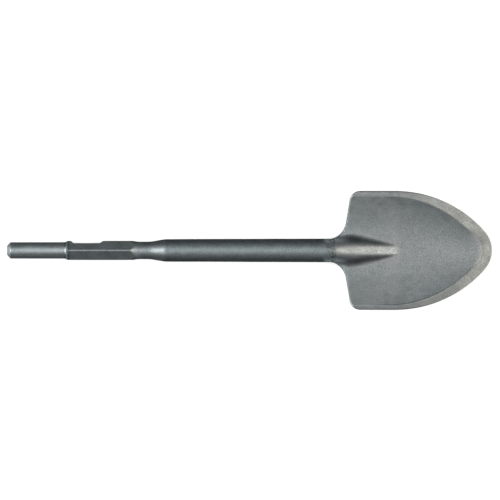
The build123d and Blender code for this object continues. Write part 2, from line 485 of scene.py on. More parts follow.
    def outline(self) -> tuple[Array, Array, Array]:
        """Points round one half of the blade, from the shaft to the tip.

        Returns:
            The points, their outward directions and where their cross lines meet the middle.
        """
        sweep = math.radians(self.side_arc_sweep)
        # Name, length, distance between points, and where its last cross line meets the middle.
        stretches = (
            ("throat", self.throat_radius * self.turn, 0.6, 349.0),
            ("shoulder", self.shoulder_length, 0.9, 357.0),
            ("corner", self.corner_radius * self.turn, 0.6, 362.0),
            ("side", self.arc_start - self.corner_centre[0], 1.1, 388.0),
            ("arc", self.side_arc_radius * sweep, 1.05, 444.0),
            ("nose", self.nose_radius * (math.pi / 2 - sweep), 0.7, self.nose_centre),
        )
        points, outward, middle = [], [], []
        last_middle = self.shaft_end
        for name, length, spacing, middle_end in stretches:
            count = max(int(round(length / spacing)), 2)
            share = np.linspace(0.0, 1.0, count + 1)[(1 if points else 0):]
            place, facing = self.stretch(name, share)
            points.append(place)
            outward.append(facing)
            middle.append(mix(last_middle, middle_end, share))
            last_middle = middle_end
        return np.concatenate(points), np.concatenate(outward), np.concatenate(middle)

    def stretch(self, name: str, share: Array) -> tuple[Array, Array]:
        """Points and outward directions along one named stretch of the outline.

        Args:
            name: The stretch's name.
            share: How far along the stretch each point is, from 0 to 1.

        Returns:
            The points and their outward directions.
        """
        sweep = math.radians(self.side_arc_sweep)
        corner_x = self.corner_centre[0]
        straights = {
            "shoulder": (self.throat_exit, self.along * self.shoulder_length, self.outward),
            "side": ((corner_x, self.half_width), (self.arc_start - corner_x, 0.0), (0.0, 1.0)),
        }
        if name in straights:
            start, reach, facing = (np.array(value) for value in straights[name])
            return start + share[:, None] * reach, np.ones_like(share)[:, None] * facing
        centre, radius, angle = {
            "throat": (self.throat_centre, -self.throat_radius, -self.turn * share),
            "corner": (self.corner_centre, self.corner_radius, -self.turn * (1 - share)),
            "arc": ((self.arc_start, self.arc_centre_y), self.side_arc_radius, sweep * share),
            "nose": ((self.nose_centre, 0.0), self.nose_radius, mix(sweep, math.pi / 2, share)),
        }[name]
        facing = np.stack((np.sin(angle), np.cos(angle)), 1)
        return np.array(centre) + radius * facing, facing


class Part(NamedTuple):
    """One part of a mark or of an area of the skin.

    Each run fades it by a measure, from the value where it is at nothing to the value where it is
    at full strength. Its areas are those that it keeps to, or keeps off after not_.
    """

    name: str
    strength: float
    areas: str = ""
    runs: tuple[tuple[str, float, float], ...] = ()


AREAS = (
    Part("on_bevel", 1.0, "above", (("under_scoop", -0.02, 0.05),)),
    Part("at_back", 1.0, "on_shoulder", (("past_corner", 6.0, 0.0),)),
    Part("corner_x", 1.0, "above far_out", (("past_corner", -10.5, -8.5), ("past_corner", 1.0, -3.0))),
    Part("at_corner", 1.0, "corner_x", (("beyond_plan", -2.4, -1.3), ("beyond_plan", -0.2, -0.6))),
    Part("beside_lower", 1.0, "above lower", (("inward", 0.2, -0.2),)),
    Part("on_strip", 1.0, "above", (("beyond", -3.6, -4.4),)),
    Part("on_chamfer", 1.0, "", (("along", 1.4, 2.3),)),
    Part("on_flank", 1.0, "above", (("across", 15.0, 32.0), ("along", 410.0, 372.0), ("inward", 0.3, -0.3))),
    Part("on_rib", 1.0, "", (("above_crest", -2.5, -0.6), ("along", 322.0, 328.0), ("along", 391.0, 382.0))),
    Part("milled", 1.0, "hexagonal", (("below_turning", 0.15, 0.35),)),
)
SPARED = (
    Part("back", 0.9, "at_back"),
    Part("lead_in", 0.7, "on_lead_in"),
    Part("notch", 0.8, "in_notch"),
    Part("scallop", 0.7, "", (("along", 122.5, 124.5), ("along", 131.0, 128.0))),
)
NOSE_RUNS = (("along", 444.0, 453.0), ("along", 470.0, 458.0))
NECK_RUNS = (("along", 125.5, 128.5), ("along", 137.0, 131.0), ("past_neck", 3.0, -3.0))
LINE_RUNS = (("off_edge_line", 1.0, 0.4), ("along", 350.0, 355.0), ("along", 408.0, 392.0))
MARKS = {
    Mark.TURNED: (
        Part("steel", 1.0, "not_milled not_past_shoulder"),
        Part("steel", 0.55, "not_milled past_shoulder", (("past_neck", 3.0, -3.0),)),
        Part("steel", 0.40, "not_milled past_shoulder", NECK_RUNS),
        Part("steel", 0.45, "not_milled", (("past_neck", -3.0, 3.0), ("past_cone", 1.2, -0.6))),
    ),
    Mark.MILLED: (Part("flats", 1.0, "milled"),),
    Mark.GROUND: (
        Part("bevel", 0.25, "on_bevel not_lower"),
        Part("bevel", 0.75, "on_bevel not_lower", (("along", 352.0, 385.0),)),
        Part("bevel", 0.10, "on_bevel lower"),
        Part("bevel", 0.90, "on_bevel lower", (("along", 372.0, 408.0),)),
    ),
    # Painted shade: the scooped face beside the upper bevel, a line inside the lower bevel, the rims, the
    # lower and nose bevel, the face beside the rib's root and the sides of the ring and chamfer are painted
    # darker.
    Mark.SCALED: (
        Part("beside", 0.32, "above not_lower before_tip", (("inward", -34.0, -3.0), ("inward", 0.2, -0.2))),
        Part("beside_low", 1.0, "beside_lower before_tip", (("inward", -1.6, -0.7), ("along", 352.0, 380.0))),
        Part("back_rim", 0.5, "at_back not_at_corner", (("beyond_plan", -2.0, -0.8),)),
        Part("rim", 0.52, "above not_at_corner", (("beyond", -1.3, -0.4), ("along", 440.0, 412.0))),
        Part("painted_shade_bevel", 0.32, "on_bevel lower", (("along", 400.0, 372.0),)),
        Part("painted_shade_bevel", 0.50, "on_bevel lower", (("along", 412.0, 428.0), ("along", 462.0, 434.0))),
        Part("painted_shade_bevel", 0.16, "on_bevel lower", NOSE_RUNS),
        Part("painted_shade_bevel", 0.34, "on_bevel not_lower", NOSE_RUNS),
        Part("flank", 0.20, "on_flank"),
        Part("flank", 0.10, "on_flank", (("along", 365.0, 345.0),)),
        Part("flank", 0.05, "on_flank not_lower"),
        Part("strip", 0.34, "on_strip not_lower", (("inward", -0.6, 0.2), ("along", 396.0, 374.0))),
        Part("ring", 0.5, "on_lead_in", (("past_pilot", 1.3, 2.4),)),
        Part("ring_side", 0.95, "on_lead_in", (("past_pilot", -0.2, 0.8), ("across", 2.5, 5.5))),
        Part("chamfer_side", 0.665, "", (("past_chamfer", 0.3, -0.3), ("across", 2.5, 5.5))),
    ),
    # Wear on the edges, and painted highlights: a line on the bevel near the tip, the chamfer's middle, the
    # rib's crest, the cone, the shoulder corners and lines along the bevel. The chamfer and the rib's crest
    # also stand for wear.
    Mark.WORN_AND_HIGHLIGHT: (
        Part("bends", 1.0, "rubbed", (("bend", 0.10, 0.50),)),
        Part("bevel_line", 0.35, "above", (("off_bevel_line", 0.6, 0.15), ("along", 464.0, 471.0))),
        Part("struck_and_highlight", 0.5, "on_chamfer", (("past_chamfer", 0.8, 0.0), ("across", 5.0, 2.0))),
        Part("rib", 0.18, "on_rib"),
        Part("rib", 0.02, "on_rib", (("along", 352.0, 334.0),)),
        Part("cone", 0.25, "", (("past_neck", -0.4, 1.6), ("past_cone", 1.2, -0.6))),
        Part("corner", 1.0, "at_corner"),
        Part("edge_line", 0.16, "above not_lower", LINE_RUNS),
        Part("edge_line", 0.28, "above lower", LINE_RUNS),
    ),
    Mark.HOLLOW: (Part("bends", 1.0, "", (("bend", -0.04, -0.35),)),),
}


@dataclass
class Dressing:
    """Works out for each point of the skin how the steel was turned, ground or worn, where it is darker in
    hollows, and where painted shade and painted highlights go.
    """

    shank: Shank
    blade: Blade
    data: bpy.types.Mesh
    top_share: float = 0.7
    lead_in_from: float = 50.0
    notch_across: float = 5.5
    notch_along: tuple[float, float] = (66.5, 91.5)
    shoulder_from: float = 8.0
    far_out: float = 40.0
    edge_line_at: float = -3.2
    tip_fade: tuple[float, float] = (2.0, 14.0)
    least_step_squared: float = 0.01

    def __post_init__(self) -> None:
        """Measure where each point of the skin lies on the shank or the blade."""
        places = np.empty(len(self.data.vertices) * 3)
        self.data.vertices.foreach_get("co", places)
        self.places = places.reshape(-1, 3) / MM
        x, y, z = self.places.T
        shank, blade = self.shank, self.blade
        beyond, turned = blade.edge_frame(x, y)
        inward = blade.bevel_width(x, y, turned) + beyond
        scoop, bevel, belly = blade.scoop(x, y), blade.bevel(x, y), blade.belly(x, y)
        on_top = z - belly > self.top_share * (np.minimum(scoop, bevel) - belly)
        past_corner = x - blade.corner_centre[0]
        above = on_top & (past_corner > -blade.corner_radius)
        past_centre, before_end = self.tip_fade
        self.edge_run = turned * blade.side_arc_radius + np.minimum(x, blade.arc_start)
        self.measures = {
            "along": x,
            "across": np.abs(y),
            "bend": self.bending(),
            "past_chamfer": x - shank.chamfer_length,
            "past_pilot": x - shank.pilot_end,
            "past_neck": x - shank.neck_end,
            "past_cone": x - shank.cone_end,
            "past_corner": past_corner,
            "below_turning": shank.turned_radius(x) - np.hypot(y, z - shank.centre_height(x)),
            "above_crest": z - blade.rib_crest(x),
            "beyond_plan": blade.plan_distance(x, y),
            "under_scoop": scoop - bevel,
            "beyond": beyond,
            "inward": inward,
            "off_bevel_line": np.abs(inward),
            "off_edge_line": np.abs(beyond - self.edge_line_at),
            "lower": y < 0,
            "above": above,
            "on_lead_in": (x > self.lead_in_from) & (x < shank.shoulder_end),
            "past_shoulder": x > shank.shoulder_end,
            "hexagonal": (x < shank.neck_end) & (x > shank.pilot_end),
            "in_notch": (y > self.notch_across) & (x > self.notch_along[0]) & (x < self.notch_along[1]),
            "on_shoulder": x > blade.shaft_end + self.shoulder_from,
            "far_out": np.abs(y) > self.far_out,
            "before_tip": 1 - ramp(x, blade.nose_centre + past_centre, blade.length - before_end),
        }
        for area in AREAS:
            self.measures[area.name] = self.strength(area)
        self.measures["rubbed"] = np.prod([1 - self.strength(part) for part in SPARED], axis=0)

    def strength(self, part: Part) -> Array:
        """Strength of one part at each point of the skin.

        Args:
            part: The part.

        Returns:
            Its strength at each point.
        """
        value = np.full(len(self.places), part.strength)
        for area in part.areas.split():
            inside = self.measures[area.removeprefix("not_")]
            value = value * (1 - inside if area.startswith("not_") else inside)
        for measure, nothing, full in part.runs:
            value = value * ramp(self.measures[measure], nothing, full)
        return value

    def bending(self) -> Array:
        """Measure how sharply the skin bends, above 0 on an edge and below 0 in a corner.

        Returns:
            The mean bend at each point, as one over its radius.
        """
        normals = np.empty(len(self.data.vertices) * 3)
        self.data.vertices.foreach_get("normal", normals)
        normals = normals.reshape(-1, 3)
        ends = np.empty(len(self.data.edges) * 2, dtype=np.int32)
        self.data.edges.foreach_get("vertices", ends)
        first, second = ends.reshape(-1, 2).T
        total, count = np.zeros(len(self.places)), np.zeros(len(self.places))
        for here, there in ((first, second), (second, first)):
            step = self.places[here] - self.places[there]
            length = np.maximum((step**2).sum(1), self.least_step_squared)
            np.add.at(total, here, 2 * (normals[here] * step).sum(1) / length)
            np.add.at(count, here, 1.0)
        return total / np.maximum(count, 1.0)

    def store(self) -> None:
        """Store the marks on the skin's points.

        A mark's parts of one name are added, and the strongest name counts.
        """
        values = {Mark.EDGE_RUN: self.edge_run, Mark.EDGE_DEPTH: self.measures["inward"]}
        for mark, parts in MARKS.items():
            named: dict[str, Array | float] = {}
            for part in parts:
                named[part.name] = named.get(part.name, 0.0) + self.strength(part)
            values[mark] = np.maximum.reduce(list(named.values()))
        for mark in Mark:
            layer = self.data.attributes.new(mark.value, "FLOAT", "POINT")
            layer.data.foreach_set("value", np.asarray(values[mark], dtype=np.float32))


@dataclass(frozen=True)
class Waves:
    """Slight waves that hammer and die leave, always pressed inwards, in millimetres."""

    unforged_share: float = 0.25
    forged_from: float = 125.0
    forged_run: float = 30.0
    depth: float = 0.085
    broad_depth: float = 0.08
    broad_scale: float = 0.045
    fine_depth: float = 0.04
    fine_scale: float = 0.16
    fine_shift: tuple[float, float, float] = (31.0, 7.0, 3.0)
    inset: float = 0.01

    def depth_at(self, place: Vector) -> float:
        """How far a point is pressed in."""
        share = min(max((place.x - self.forged_from) / self.forged_run, 0.0), 1.0)
        broad = noise.noise(place * self.broad_scale)
        fine = noise.noise(place * self.fine_scale + Vector(self.fine_shift))
        waves = max(self.depth + self.broad_depth * broad + self.fine_depth * fine, 0.0)
        return mix(self.unforged_share, 1.0, share) * waves + self.inset


@dataclass
class Forging:
    """The whole tool as one skin of rings, drawn out ring by ring and pressed on to its form."""

    shank: Shank
    blade: Blade
    waves: Waves = Waves()
    name: str = "spade_chisel_forging"
    top_rows: int = 38
    fan_rows: int = 14
    strip_rows: int = 8
    crowding: float = math.radians(6.5)
    first_ring: float = 0.25
    face_radii: tuple[float, ...] = (0.02, 0.7, 1.4, 2.1, 2.8, 3.4, 3.9, 4.2, 4.4)
    face_depth: float = 2.0
    crease_rows: tuple[float, ...] = (3.2, 1.9, 0.9, 0.3, -0.3)
    strip_start: float = 0.9
    rim_inset: float = 1.5
    top_evenness: float = 0.55
    bottom_evenness: float = 0.35
    blend_length: float = 30.0
    ray_length: float = 32.0
    halvings: int = 26
    merge_within: float = 0.002

    def __post_init__(self) -> None:
        """Work out the angle of each row round a round section, closer together at the corners."""
        self.half_rows = 2 * self.top_rows + self.fan_rows
        share = np.arange(self.half_rows + 1) / self.half_rows
        self.angles = np.pi * share - self.crowding * np.sin(6 * np.pi * share)

    def distance(self, points: Array) -> Array:
        """Signed distance from points, as rows of x, y and z, to the tool's surface."""
        x, y, z = points[..., 0], points[..., 1], points[..., 2]
        shank = self.shank.distance(x, y, z)
        return np.where(x < self.shank.shaft_end, shank, self.blade.distance(x, y, z))

    def shank_stations(self) -> list[float]:
        """Places of the rings along the shank and the shaft, closer together at the details."""
        shank = self.shank
        # Where each stretch ends and the distance between its rings.
        stretches = (
            (shank.chamfer_length + 1.2, 0.35),
            (55.4, 3.2),
            (shank.notch_floor[0] + 1.6, 0.4),
            (shank.notch_floor[1] - 1.6, 2.6),
            (shank.notch_ends[1] + 1.6, 0.4),
            (118.5, 2.4),
            (shank.hexagon_end + 1.0, 0.5),
            (shank.cone_end + 3.0, 0.9),
            (shank.shaft_end, 3.4),
        )
        stations: list[float] = []
        start = self.first_ring
        for end, step in stretches:
            count = max(int(round((end - start) / step)), 1)
            stations += [start + (end - start) * i / count for i in range(count)]
            start = end
        return stations

    def round_rays(self, x: float) -> tuple[Array, Array]:
        """Start points and directions of one ring's rays on the shank, from its axis outwards."""
        centre = float(self.shank.centre_height(np.array(x)))
        starts = np.tile((x, 0.0, centre), (self.half_rows + 1, 1))
        return starts, np.stack((0 * self.angles, np.sin(self.angles), np.cos(self.angles)), 1)

    def end_rays(self) -> tuple[Array, Array]:
        """Rays of the rings on the striking face, which open out from its centre."""
        depth = self.shank.chamfer_length + self.face_depth
        radii = np.array(self.face_radii)
        reach = np.stack((np.full_like(radii, -depth), radii), 1)
        reach /= np.linalg.norm(reach, axis=1)[:, None]
        starts = np.tile((depth, 0.0, 0.0), (len(radii), self.half_rows + 1, 1))
        ring = np.stack((np.sin(self.angles), np.cos(self.angles)), 1)
        along = np.tile(reach[:, :1, None], (1, self.half_rows + 1, 1))
        return starts, np.concatenate((along, reach[:, 1][:, None, None] * ring[None]), 2)

    def plate_rows(self, width: float, length: float) -> Array:
        """Distances of one ring's rows from the middle of the blade, measured along its cross line.

        Args:
            width: Width of the bevel there.
            length: Length of the straight cross line, from the middle to where it bends.

        Returns:
            The distances of the top rows and the bottom rows in order, from the middle to the rim
            and back.
        """
        crease = width + np.array(self.crease_rows)
        strip = np.linspace(width - self.strip_start, self.rim_inset, self.strip_rows)
        ends = length + crease[0] - np.concatenate((crease, strip))
        count = self.top_rows + 1 - len(ends)
        inner = np.arange(count) / count
        inner = self.top_evenness * inner + (1 - self.top_evenness) * inner**2
        top = np.concatenate((length * inner, ends))
        back = np.arange(self.top_rows + 1) / self.top_rows
        back = self.bottom_evenness * back + (1 - self.bottom_evenness) * back**2
        return np.concatenate((top, np.full(self.fan_rows - 1, top[-1]), top[-1] * (1 - back)))

    def plate_rays(
        self, point: Array, facing: Array, middle: float, blend: float
    ) -> tuple[Array, Array]:
        """Rays of one ring on the blade, up and down from inside the plate and out past its rim.

        Args:
            point: Point of the outline that the ring's cross line ends at.
            facing: Outward direction of the outline there.
            middle: Where the cross line meets the middle of the blade.
            blend: How far the ring has changed from a round section to a plate, from 0 to 1.

        Returns:
            Start points and directions, from the top middle round the rim to the bottom middle.
        """
        width = float(self.blade.bevel_width(point[0], 0.0, 0.0))
        inset = width + self.crease_rows[0]
        start = np.array((middle, 0.0))
        straight = point - facing * inset - start
        length = float(np.linalg.norm(straight))
        rows = self.plate_rows(width, length)[:, None]
        past = point - facing * (inset - (rows - length))
        plan = np.where(rows < length, rows / length * straight + start, past)
        across, along = plan[:, 1], plan[:, 0]
        top = np.minimum(self.blade.scoop(along, across), self.blade.bevel(along, across))
        height = (top + self.blade.belly(along, across)) / 2
        starts = np.concatenate((plan, height[:, None]), 1)
        lift = np.full(self.half_rows + 1, math.pi / 2)
        first = self.top_rows
        lift[first:first + self.fan_rows + 1] = np.linspace(math.pi / 2, -math.pi / 2, self.fan_rows + 1)
        lift[first + self.fan_rows:] = -math.pi / 2
        directions = np.concatenate((np.cos(lift)[:, None] * facing, np.sin(lift)[:, None]), 1)
        centre = self.blade.rib_crest(np.array(middle)) - self.blade.rib_radius(np.array(middle))
        hub = np.array((middle, 0.0, max(float(centre), float(height[0]))))
        radial = np.stack((0 * self.angles, np.sin(self.angles), np.cos(self.angles)), 1)
        radial[:, :1] = np.sin(self.angles)[:, None] * (point[0] - middle) / max(point[1], 1.0)
        directions = radial * (1 - blend) + directions * blend
        return mix(hub, starts, blend), directions / np.linalg.norm(directions, axis=1)[:, None]

    def all_rays(self) -> tuple[Array, Array]:
        """Rays of every ring on the +Y half, in order from the striking face to the nose."""
        rings = list(zip(*self.end_rays()))
        rings += [self.round_rays(x) for x in self.shank_stations()]
        points, facings, middles = self.blade.outline()
        travelled = np.concatenate(((0.0,), np.cumsum(np.linalg.norm(np.diff(points, axis=0), axis=1))))
        blends = ramp(travelled, 0.0, self.blend_length)
        for point, facing, middle, blend in zip(points, facings, middles, blends):
            rings.append(self.plate_rays(point, facing, float(middle), float(blend)))
        starts, directions = zip(*rings)
        return np.array(starts), np.array(directions)

    def press(self, starts: Array, directions: Array) -> Array:
        """Follow each ray from inside the steel to the surface.

        Args:
            starts: Points inside the steel.
            directions: Directions outwards, of length one.

        Returns:
            The points where the rays leave the steel.
        """
        inside = self.distance(starts)
        LOG.info("%d ray starts lie outside the steel", int((inside >= 0).sum()))
        near = np.zeros(starts.shape[:-1])
        far = np.full(starts.shape[:-1], self.ray_length)
        for _ in range(self.halvings):
            half = (near + far) / 2
            within = self.distance(starts + directions * half[..., None]) < 0
            near = np.where(within, half, near)
            far = np.where(within, far, half)
        return starts + directions * far[..., None]

    def rings(self) -> Array:
        """Every ring's points all the way round, from the top middle over +Y and back over -Y."""
        flip = np.array((1.0, -1.0, 1.0))
        return self.press(*(np.concatenate((half, half[:, -2:0:-1] * flip), 1) for half in self.all_rays()))

    def build(self) -> bpy.types.Object:
        """Draw the skin out ring by ring, close its ends and make it an object.

        Returns:
            The finished object, in metres.
        """
        rings = self.rings() * MM
        mesh = bmesh.new()
        count = rings.shape[1]
        ring = bmesh.ops.create_circle(mesh, segments=count, radius=MM)["verts"]
        for vert, place in zip(ring, rings[0]):
            vert.co = place
        pole = list(ring)
        for places in rings[1:]:
            edges = [mesh.edges.get((ring[i], ring[(i + 1) % count])) for i in range(count)]
            drawn = bmesh.ops.extrude_edge_only(mesh, edges=edges)["geom"]
            fresh = {v for v in drawn if isinstance(v, bmesh.types.BMVert)}
            ring = [next(e.other_vert(v) for e in v.link_edges if e.other_vert(v) in fresh) for v in ring]
            for vert, place in zip(ring, places):
                vert.co = place
        bmesh.ops.pointmerge(mesh, verts=pole, merge_co=Vector(rings[0].mean(0)))
        bmesh.ops.remove_doubles(mesh, verts=mesh.verts[:], dist=self.merge_within * MM)
        bmesh.ops.recalc_face_normals(mesh, faces=mesh.faces[:])
        mesh.normal_update()
        for vert in mesh.verts:
            vert.co -= vert.normal * (self.waves.depth_at(vert.co / MM) * MM)
        data = mesh_data(mesh, self.name)
        data.polygons.foreach_set("use_smooth", [True] * len(data.polygons))
        Dressing(self.shank, self.blade, data).store()
        return put_in(self.name, data)


class Spread(NamedTuple):
    """Two values of a measure, and what it is changed to at them."""

    low: float
    high: float
    to: tuple[float, float] = (0.0, 1.0)


class Cloud(NamedTuple):
    """Scale and detail of a cloudy pattern, how its values are spread and how rough it is."""

    scale: float
    detail: float
    spread: Spread
    roughness: float = 0.55


@dataclass
class Wiring:
    """Adds and joins the nodes of one node tree."""

    tree: bpy.types.NodeTree

    def add(self, kind: str, settings: dict[str, object] | None = None, **feeds: object) -> bpy.types.Node:
        """Add a node and feed its sockets.

        Args:
            kind: The node's type, without its common first part.
            settings: Values of the node's own settings.
            feeds: A socket to link or a value to set for each input, by its name with _ for a space.

        Returns:
            The new node.
        """
        node = self.tree.nodes.new("ShaderNode" + kind)
        for name, value in (settings or {}).items():
            setattr(node, name, value)
        for name, value in feeds.items():
            self.feed(node.inputs[name.replace("_", " ")], value)
        return node

    def feed(self, socket: Socket, value: object) -> None:
        """Link a socket to another one, or set its value."""
        if isinstance(value, Socket):
            self.tree.links.new(value, socket)
        else:
            socket.default_value = value

    def calculate(self, operation: str, first: object, *others: object) -> Socket:
        """Join values one after another by a sum named as the node names it."""
        for second in others or (0.0,):
            node = self.add("Math", {"operation": operation})
            self.feed(node.inputs[0], first)
            self.feed(node.inputs[1], second)
            first = node.outputs[0]
        return first

    def times(self, *factors: object) -> Socket:
        """Product of values."""
        return self.calculate("MULTIPLY", *factors)

    def plus(self, *parts: object) -> Socket:
        """Sum of values."""
        return self.calculate("ADD", *parts)

    def minus(self, first: object, second: object) -> Socket:
        """First value less the second."""
        return self.calculate("SUBTRACT", first, second)

    def largest(self, *parts: object) -> Socket:
        """Largest of several values."""
        return self.calculate("MAXIMUM", *parts)

    def spread(
        self, value: object, low: float, high: float, to: tuple[float, float] = (0.0, 1.0)
    ) -> Socket:
        """Smooth change from the first of two values to the second, as the given value rises."""
        node = self.add("MapRange", {"interpolation_type": "SMOOTHSTEP"})
        names = ("Value", "From Min", "From Max", "To Min", "To Max")
        for name, number in zip(names, (value, low, high, *to)):
            self.feed(node.inputs[name], number)
        return node.outputs["Result"]

    def cloud(self, place: object, scale: float, detail: float, roughness: float = 0.55) -> Socket:
        """Cloudy value between 0 and 1."""
        node = self.add("TexNoise", Vector=place, Scale=scale, Detail=detail, Roughness=roughness)
        return node.outputs["Fac"]

    def clouded(self, place: object, cloud: Cloud) -> Socket:
        """Cloudy value, spread as its pattern says."""
        return self.spread(self.cloud(place, cloud.scale, cloud.detail, cloud.roughness), *cloud.spread)

    def dots(self, place: object, scale: float, feature: str) -> bpy.types.Node:
        """Node of a pattern of scattered cells."""
        return self.add("TexVoronoi", {"feature": feature}, Vector=place, Scale=scale)

    def stretched(self, place: object, scale: tuple[float, float, float]) -> Socket:
        """Coordinates multiplied by a scale of their own in each direction."""
        return self.add("Mapping", {"vector_type": "POINT"}, Vector=place, Scale=scale).outputs["Vector"]

    def mark(self, mark: Mark) -> Socket:
        """Value stored on the skin."""
        return self.add("Attribute", {"attribute_name": mark.value}).outputs["Fac"]

    def blend(self, share: object, first: object, second: object, way: str = "MIX") -> Socket:
        """Blend two colours."""
        node = self.add("Mix", {"data_type": "RGBA", "blend_type": way, "clamp_factor": True})
        self.feed(node.inputs["Factor"], share)
        for socket, colour in zip([s for s in node.inputs if s.type == "RGBA"], (first, second)):
            self.feed(socket, (*colour.value, 1.0) if isinstance(colour, Tint) else colour)
        return next(s for s in node.outputs if s.type == "RGBA")

    def shaded(self, colour: object, tone: Socket) -> Socket:
        """Colour multiplied by a tone."""
        return self.blend(1.0, colour, self.add("CombineXYZ", X=tone, Y=tone, Z=tone).outputs[0], "MULTIPLY")


def node_group(name: str, outputs: tuple[str, ...]) -> tuple[Wiring, Socket, bpy.types.Node]:
    """Start a node group that takes coordinates and puts out numbers.

    Args:
        name: The group's name.
        outputs: Names of what it puts out.

    Returns:
        The group's wiring, its coordinates and its output node.
    """
    tree = bpy.data.node_groups.new(name, "ShaderNodeTree")
    tree.interface.new_socket("Vector", in_out="INPUT", socket_type="NodeSocketVector")
    for output in outputs:
        tree.interface.new_socket(output, in_out="OUTPUT", socket_type="NodeSocketFloat")
    entry, leave = tree.nodes.new("NodeGroupInput"), tree.nodes.new("NodeGroupOutput")
    return Wiring(tree), entry.outputs["Vector"], leave


@dataclass(frozen=True)
class Blasting:
    """Fine dents and specks that shot blasting leaves on forged steel."""

    name: str = "shot_blasting"
    grain: tuple[float, float, float] = (1050.0, 2.0, 0.6)
    grain_depth: float = 0.6
    dent_scale: float = 620.0
    dent_depth: float = 0.5
    speck_scale: float = 330.0
    chosen: Spread = Spread(0.60, 0.85)
    speck_size: Spread = Spread(0.42, 0.16)

    def build(self) -> bpy.types.NodeTree:
        """Make the node group, which puts out a height, a tone and a mask of dark specks."""
        wiring, place, leave = node_group(self.name, ("Height", "Tone", "Specks"))
        grain = wiring.cloud(place, *self.grain)
        dents = wiring.dots(place, self.dent_scale, "SMOOTH_F1").outputs["Distance"]
        specks = wiring.dots(place, self.speck_scale, "F1")
        chosen = wiring.spread(specks.outputs["Color"], *self.chosen)
        spots = wiring.spread(specks.outputs["Distance"], *self.speck_size)
        height = wiring.plus(wiring.times(grain, self.grain_depth), wiring.times(dents, self.dent_depth))
        wiring.feed(leave.inputs["Height"], height)
        wiring.feed(leave.inputs["Tone"], grain)
        wiring.feed(leave.inputs["Specks"], wiring.times(chosen, spots))
        return wiring.tree


@dataclass(frozen=True)
class ToolMarks:
    """Fine side-by-side lines that a turning tool or a grinding wheel leaves."""

    name: str = "tool_marks"
    fine: tuple[float, float, float] = (1.0, 2.0, 0.7)
    fine_depth: float = 0.7
    coarse: tuple[float, float] = (0.22, 1.0)
    coarse_depth: float = 0.3

    def build(self) -> bpy.types.NodeTree:
        """Make the node group, which puts out the lines' height for coordinates scaled to them."""
        wiring, place, leave = node_group(self.name, ("Height",))
        fine = wiring.times(wiring.cloud(place, *self.fine), self.fine_depth)
        coarse = wiring.times(wiring.cloud(place, *self.coarse), self.coarse_depth)
        wiring.feed(leave.inputs["Height"], wiring.plus(fine, coarse))
        return wiring.tree


class Surface(NamedTuple):
    """What the steel's colour and its roughness are both worked out from."""

    wiring: Wiring
    place: Socket
    blasting: bpy.types.Node
    lines: Socket
    cut: Socket


